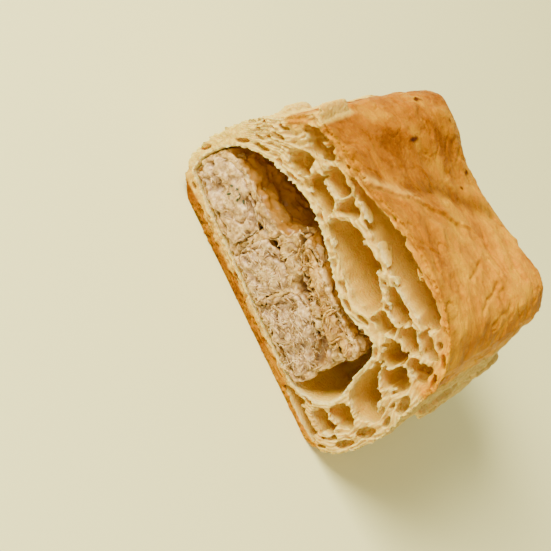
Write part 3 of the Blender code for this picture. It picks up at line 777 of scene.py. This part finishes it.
# Fine relief: grain all over, crumbs on the pale dough and a groove between the sheets
CRUMB_HEIGHT = 2.6
GROOVE_HEIGHT = -2.4
crumb_share = add_node(tree, "ShaderNodeMapRange", Value=baked["bake"], From_Max=0.6, To_Min=1.0, To_Max=0.2)
crumbly = add_node(tree, "ShaderNodeMath", {"operation": "MULTIPLY"}, _0=crumb_share, _1=crumbs)
height = add_node(tree, "ShaderNodeMath", {"operation": "ADD"}, _0=fleck, _1=speckle)
for added, most in ((crumbly, CRUMB_HEIGHT), (sheets, GROOVE_HEIGHT)):
    height = add_node(tree, "ShaderNodeMath", {"operation": "MULTIPLY_ADD"}, _0=added, _1=most, _2=height)
bumps = add_node(tree, "ShaderNodeBump", Height=height, Strength=0.5, Distance=0.0005)
tree.links.new(bumps, shader.inputs["Normal"])

# The whole is parted where the kind of surface changes. A triangle goes with its middle corner.
MIDDLE = 1
whole = decimated(fine, PASTRY_TRIANGLES)
for index, name in enumerate(PASTRY_PIECES):
    bm = bmesh.new()
    bm.from_mesh(whole)
    layer = bm.verts.layers.float["kind"]
    gone = [f for f in bm.faces if round(sorted(v[layer] for v in f.verts)[MIDDLE]) != index]
    bmesh.ops.delete(bm, geom=gone, context="FACES")
    finished_piece(name, bm, baked_dough, "pastry")


# The filling. Shredded chicken bound with a little white sauce. Where it met the hot air of the
# hollow it has dried to a browned skin, and the knife has torn it into lumps and threads.
FILLING_FINE_MM = 0.32
FILLING_TRIANGLES = 160000
LUMP_MM = 3.0
LUMP_MOST = 0.08
CRACK_MM = 1.5
PIT_MM = 1.3
FILLING_OUT_MM = 0.4
SHADED_TEAR_MM = 3.0
# Dark brown for the pits, partly their own colour, and painted shade in the cracks, gaps and tears
PIT_AND_SHADE_COLOUR = "6B4320"
TEARS = (
    ([(-12.7, 26.5), (-8.2, 22.8), (-3.6, 21.4), (0.6, 19.6)], 1.0, 4.2),
    ([(-1.4, 18.8), (2.0, 18.2)], 1.8, 4.8),
    ([(11.5, 16.5), (15.5, 14.0)], 2.3, 2.6),
    ([(-24.2, 15.8), (-20.4, 14.8), (-16.8, 13.6)], 0.8, 2.2),
    ([(-14.0, 5.5), (-13.2, 13.0)], 0.35, 1.2),
    ([(-0.4, 6.0), (1.2, 14.0)], 0.4, 1.3),
    ([(-10.4, 14.9), (-7.8, 17.6)], 0.55, 2.0),
    ([(0.9, 8.6), (4.7, 8.0), (8.6, 7.1)], 0.45, 1.5),
    ([(18.2, 7.3), (20.8, 8.6)], 0.6, 1.8),
)


def shredded(node, fine_mm, grow, stretch, fibrous, seed):
    """A fine copy of a filling node with lumps, cracks and fibres.

    grow moves it all outwards, stretch is the length of the fibres along each axis, and fibrous is how
    far they stand up. It also holds how browned each point is, and the painted shade in its sunk places.
    """
    mesh = remeshed(merged_copy(node), fine_mm)
    co, out = read_points(mesh), read_normals(mesh)
    facing = smooth(-out[:, 1], 0.2, 0.8)
    lumps = octaves(co, 4.4, 3, seed)
    threads = ridged(grain(co, stretch, seed + 5) * 1.8) - 0.5 + 0.5 * grain(co, 0.9, seed + 6)
    upward = smooth(out[:, 2], 0.3, 0.8)
    fibres = threads * (0.16 + fibrous * facing) * (1 - 0.6 * upward)
    lift = LUMP_MM * np.minimum(lumps - LUMP_MOST, LUMP_MOST) + fibres
    cracks = smooth(ridged(0.5 + 1.6 * grain(co, (6.0, 4.0, 4.6), seed + 8)), 0.76, 0.96)
    cracks *= smooth(grain(co, 9.0, seed + 9), -0.2, 0.2) * facing
    lift -= CRACK_MM * cracks
    pits = smooth(grain(co, (3.0, 2.4, 2.4), seed + 7), 0.35, 0.75)
    lift -= PIT_MM * pits * facing
    moved = co + out * (lift + grow)[:, None]
    torn = np.zeros(len(co), np.float32)
    for line, half_width, deep in TEARS:
        near = line_distance(co[:, 0] + 0.6 * grain(co, 2.0, 90), co[:, 2] + 0.5 * grain(co, 1.3, 91), line)
        torn = np.maximum(torn, deep * (1 - smooth(near, 0.4 * half_width, 1.3 * half_width)))
    moved[:, 1] += torn * facing
    moved[:, 1] = np.maximum(moved[:, 1], front_y - FILLING_OUT_MM)
    write_points(mesh, moved)
    browned = upward * (1 - 0.4 * smooth(lumps, 0.0, 0.5)) * smooth(co[:, 1] - front_y, 0.2, 2.5)
    write_attribute(mesh, "browned", browned)
    # Painted shade in the torn recesses, the cracks and the gaps between threads, and in the pits, whose
    # brown is partly their own colour
    dark = np.clip(torn / SHADED_TEAR_MM, 0, 1) * facing
    between = 0.22 * smooth(-threads, 0.2, 0.7)
    write_attribute(mesh, "pit_shade", np.clip(pits * facing * 0.7 + between + 0.75 * cracks + dark, 0, 1))
    return mesh


def meat_material(name, pale_tone, middle_tone, deep_tone, browned_tone):
    """Moist cooked chicken: waxy, with light passing through it, browned where it was bare."""
    material, tree, shader = new_material(name)
    place = add_node(tree, "ShaderNodeTexCoord", out="Object")
    browned_here, pit_shade_here = (
        add_node(tree, "ShaderNodeAttribute", {"attribute_name": value}, "Fac")
        for value in ("browned", "pit_shade")
    )
    fibres, broad = (
        add_node(tree, "ShaderNodeTexNoise", Vector=place, Scale=1 / (size * MM), Detail=4.0, Roughness=0.6)
        for size in (1.1, 4.5)
    )
    deep_share = add_node(tree, "ShaderNodeMapRange", Value=broad, From_Min=0.5, From_Max=0.66, To_Max=0.55)
    # painted shade in the pits, cracks, gaps and tears
    pit_shade_share = add_node(tree, "ShaderNodeMapRange", Value=pit_shade_here, From_Min=0.3, To_Max=0.75)
    tones = ((0.34, deep_tone), (0.5, middle_tone), (0.64, pale_tone))
    meat = add_node(tree, "ShaderNodeValToRGB", {"stops": tones}, Fac=fibres)
    for mask, colour in ((deep_share, deep_tone), (browned_here, browned_tone), (pit_shade_share, PIT_AND_SHADE_COLOUR)):
        meat = add_node(tree, "ShaderNodeMix", COLOUR, COLOUR_OUT, _0=mask, _6=meat, _7=linear(colour))
    tree.links.new(meat, shader.inputs["Base Color"])
    shader.inputs["Roughness"].default_value = 0.48
    shader.inputs["Subsurface Weight"].default_value = 0.35
    shader.inputs["Subsurface Radius"].default_value = (1.0, 0.7, 0.4)
    shader.inputs["Subsurface Scale"].default_value = 0.0009
    bumps = add_node(tree, "ShaderNodeBump", Height=fibres, Strength=0.3, Distance=0.0003)
    tree.links.new(bumps, shader.inputs["Normal"])
    return material


bound_meat = meat_material("bound_meat", "D6B678", "BA9650", "886028", "A06E16")
bare_meat = meat_material("bare_meat", "DDBE8A", "BE9C64", "8A6636", "A06E1C")
browned_meat = meat_material("browned_meat", "D4AE60", "B88C3C", "845618", "A06E18")

mesh = decimated(shredded("filling", FILLING_FINE_MM, 0.1, (2.6, 1.0, 0.9), 0.1, 31), FILLING_TRIANGLES)
bm = bmesh.new()
bm.from_mesh(mesh)
finished_piece("bound_filling", bm, bound_meat, "filling")


# The chicken. Four larger pieces of breast meat, cut across or along the grain, whose fibres stand
# out at the cut as short pale threads. For each: the fibres' stretch, their height, seed, material.
CHUNK_GROWN_MM = 0.35
CHUNK_TRIANGLES = 60000
CHUNKS = {
    "chicken_left": ((1.2, 1.2, 2.6), 0.06, 41, bare_meat),
    "chicken_middle": ((1.6, 1.2, 1.6), 0.1, 51, bare_meat),
    "chicken_right": ((3.2, 1.2, 1.0), 0.24, 61, bare_meat),
    "chicken_top": ((3.2, 1.2, 0.9), 0.1, 71, browned_meat),
}
for node, (stretch, fibrous, seed, material) in CHUNKS.items():
    shape = shredded(node, FILLING_FINE_MM, CHUNK_GROWN_MM, stretch, fibrous, seed)
    mesh = decimated(shape, CHUNK_TRIANGLES)
    bm = bmesh.new()
    bm.from_mesh(mesh)
    finished_piece(node + "_meat", bm, material, node)


# The torn threads. Meat fibres of a third of a millimetre, one to four long, that the knife pulled
# loose from the face of the filling and of the chicken pieces.
THREAD_KINDS = 8
THREAD_SIDES = 4
THREAD_STEPS = 5
THREAD_SLENDER = 6
THREAD_BEND = 0.35
THREAD_FLATNESS = 0.8
THREAD_LENGTHS = (1.5, 3.4)
THREAD_WIDTHS = (0.36, 0.58)
PULLED_LENGTHS = (2.2, 3.8)
PULLED_WIDTHS = (0.42, 0.68)
EDGE_ROOM_MM = 1.4
CUT_FACING = -0.35
CUT_DEPTH_MM = 6.0
THREAD_OUT_MM = 0.2


def thread_kind(rng):
    """A curved tapered thread of unit length that starts at the origin and runs along X."""
    bm = bmesh.new()
    bmesh.ops.create_circle(bm, segments=THREAD_SIDES, radius=0.5)
    bmesh.ops.rotate(bm, verts=bm.verts, matrix=Matrix.Rotation(math.pi / 2, 3, "Y"))
    ring = list(bm.edges)
    heading = Vector((1.0, 0.0, 0.0))
    for step in range(THREAD_STEPS):
        grown = bmesh.ops.extrude_edge_only(bm, edges=ring)["geom"]
        verts = [g for g in grown if isinstance(g, bmesh.types.BMVert)]
        ring = [g for g in grown if isinstance(g, bmesh.types.BMEdge) and all(v in verts for v in g.verts)]
        bend = Vector((0, rng.uniform(-THREAD_BEND, THREAD_BEND), rng.uniform(-THREAD_BEND, THREAD_BEND)))
        heading = (heading + bend).normalized()
        bmesh.ops.translate(bm, verts=verts, vec=heading / THREAD_STEPS * THREAD_SLENDER)
        centre = sum((v.co for v in verts), Vector()) / len(verts)
        share = 0.55 if step == THREAD_STEPS - 1 else rng.uniform(0.85, 1.1)
        bmesh.ops.scale(bm, verts=verts, vec=(share,) * 3, space=Matrix.Translation(-centre))
    bmesh.ops.holes_fill(bm, edges=bm.edges, sides=THREAD_SIDES)
    bmesh.ops.scale(bm, verts=bm.verts, vec=(1 / THREAD_SLENDER, 1, 1))
    mesh = bpy.data.meshes.new("thread")
    bm.to_mesh(mesh)
    bm.free()
    return mesh


def scatter_threads(
    bm, node, count, angle, spread, seed, within=None, lengths=THREAD_LENGTHS, widths=THREAD_WIDTHS
):
    """Adds threads to the cut face of a finished piece, mostly along one way across the face.

    within gives the middle and radius of the patch that gets them, as (x, z, radius).
    """
    rng = random.Random(seed)
    mesh = bpy.data.objects[node].data
    co = read_points(mesh) / MM
    out = read_normals(mesh)
    low, high = co.min(0) + EDGE_ROOM_MM, co.max(0) - EDGE_ROOM_MM
    allowed = (out[:, 1] < CUT_FACING) & (co[:, 1] < front_y + CUT_DEPTH_MM)
    if within:
        allowed &= np.hypot(co[:, 0] - within[0], co[:, 2] - within[1]) < within[2]
    else:
        allowed &= (co[:, 0] > low[0]) & (co[:, 0] < high[0]) & (co[:, 2] > low[2]) & (co[:, 2] < high[2])
    order = np.random.default_rng(seed).permutation(np.nonzero(allowed)[0])
    kinds = [thread_kind(rng) for _ in range(THREAD_KINDS)]
    bundle = grain(co, 4.0, seed)
    for index in order[:count]:
        turn = math.radians(angle + spread * 2.2 * float(bundle[index]) + rng.gauss(0, 14))
        facing = Vector(out[index].tolist())
        along = Vector((math.cos(turn), 0.0, math.sin(turn)))
        along = (along - facing * along.dot(facing) + facing * rng.uniform(-0.12, 0.16)).normalized()
        side = along.cross(facing).normalized()
        turned = Matrix((along, side, along.cross(side))).transposed()
        length, width = rng.uniform(*lengths), rng.uniform(*widths)
        shape = turned.to_4x4() @ Matrix.Diagonal((length, width, width * THREAD_FLATNESS, 1.0))
        start = Vector(co[index].tolist()) - along * (0.45 * length)
        start.y = max(start.y, front_y - THREAD_OUT_MM)
        before = len(bm.verts)
        bm.from_mesh(kinds[rng.randrange(THREAD_KINDS)])
        bm.verts.ensure_lookup_table()
        bmesh.ops.transform(bm, matrix=Matrix.Translation(start) @ shape, verts=bm.verts[before:])


# For each piece: how many threads, which way they run in degrees, how far they stray, its material
# and its slot
THREADS = {
    "bound_filling": (210, 10, 60, bound_meat, "bound_filling"),
    "chicken_left_meat": (60, 70, 35, bare_meat, "chicken_meat"),
    "chicken_middle_meat": (110, 40, 50, bare_meat, "chicken_meat"),
    "chicken_right_meat": (240, 20, 35, bare_meat, "chicken_meat"),
    "chicken_top_meat": (70, 15, 40, browned_meat, "chicken_meat"),
}
# Where the knife pulled longer fibres out: piece, patch, how many, which way
TORN_PATCHES = (
    ("chicken_right_meat", (3.6, 8.0, 3.0), 26, 60),
    ("chicken_right_meat", (12.0, 6.5, 3.0), 16, 25),
    ("chicken_top_meat", (8.0, 20.6, 5.5), 24, 110),
    ("chicken_top_meat", (-6.0, 22.4, 3.0), 14, 95),
    ("chicken_middle_meat", (-8.0, 14.5, 3.5), 14, 60),
)
for number, (piece, (count, angle, spread, material, slot_name)) in enumerate(THREADS.items()):
    bm = bmesh.new()
    scatter_threads(bm, piece, count, angle, spread, 80 + number)
    for place, (owner, patch, many, way) in enumerate(TORN_PATCHES):
        if owner == piece:
            scatter_threads(bm, piece, many, way, 30, 90 + place, patch, PULLED_LENGTHS, PULLED_WIDTHS)
    finished_piece(piece + "_threads", bm, material, None)


# The herbs. A few dark green flecks of leaf, chopped small and stirred into the sauce. They lie flat
# on the cut face of the filling.
HERB_MIDDLE = Vector((-26.7, 13.6))
HERB_COUNT = 7
HERB_HALF_LENGTHS = (0.35, 0.8)
HERB_HALF_THICKNESS, HERB_HALF_WIDTH = 0.16, 0.26

# Cooked leaf: dark, soft and dull
herb_leaf, tree, shader = new_material("herb_leaf")
shader.inputs["Base Color"].default_value = linear("2E3A1C")
shader.inputs["Roughness"].default_value = 0.5
rng = random.Random(12)
meat_points = read_points(bpy.data.objects["chicken_left_meat"].data) / MM
bm = bmesh.new()
for _ in range(HERB_COUNT):
    cx, cz = HERB_MIDDLE.x + rng.gauss(0, 1.4), HERB_MIDDLE.y + rng.gauss(0, 1.2)
    near = np.hypot(meat_points[:, 0] - cx, meat_points[:, 2] - cz) < 0.5
    if not near.any():
        continue
    turn = Matrix.Rotation(rng.uniform(0, math.pi), 4, "Y")
    size = Matrix.Diagonal((rng.uniform(*HERB_HALF_LENGTHS), HERB_HALF_THICKNESS, HERB_HALF_WIDTH, 1))
    place = Matrix.Translation((cx, float(meat_points[near, 1].min()) - 0.05, cz))
    bmesh.ops.create_icosphere(bm, subdivisions=2, radius=1.0, matrix=place @ (turn @ size))
finished_piece("herb_flecks", bm, herb_leaf, None)
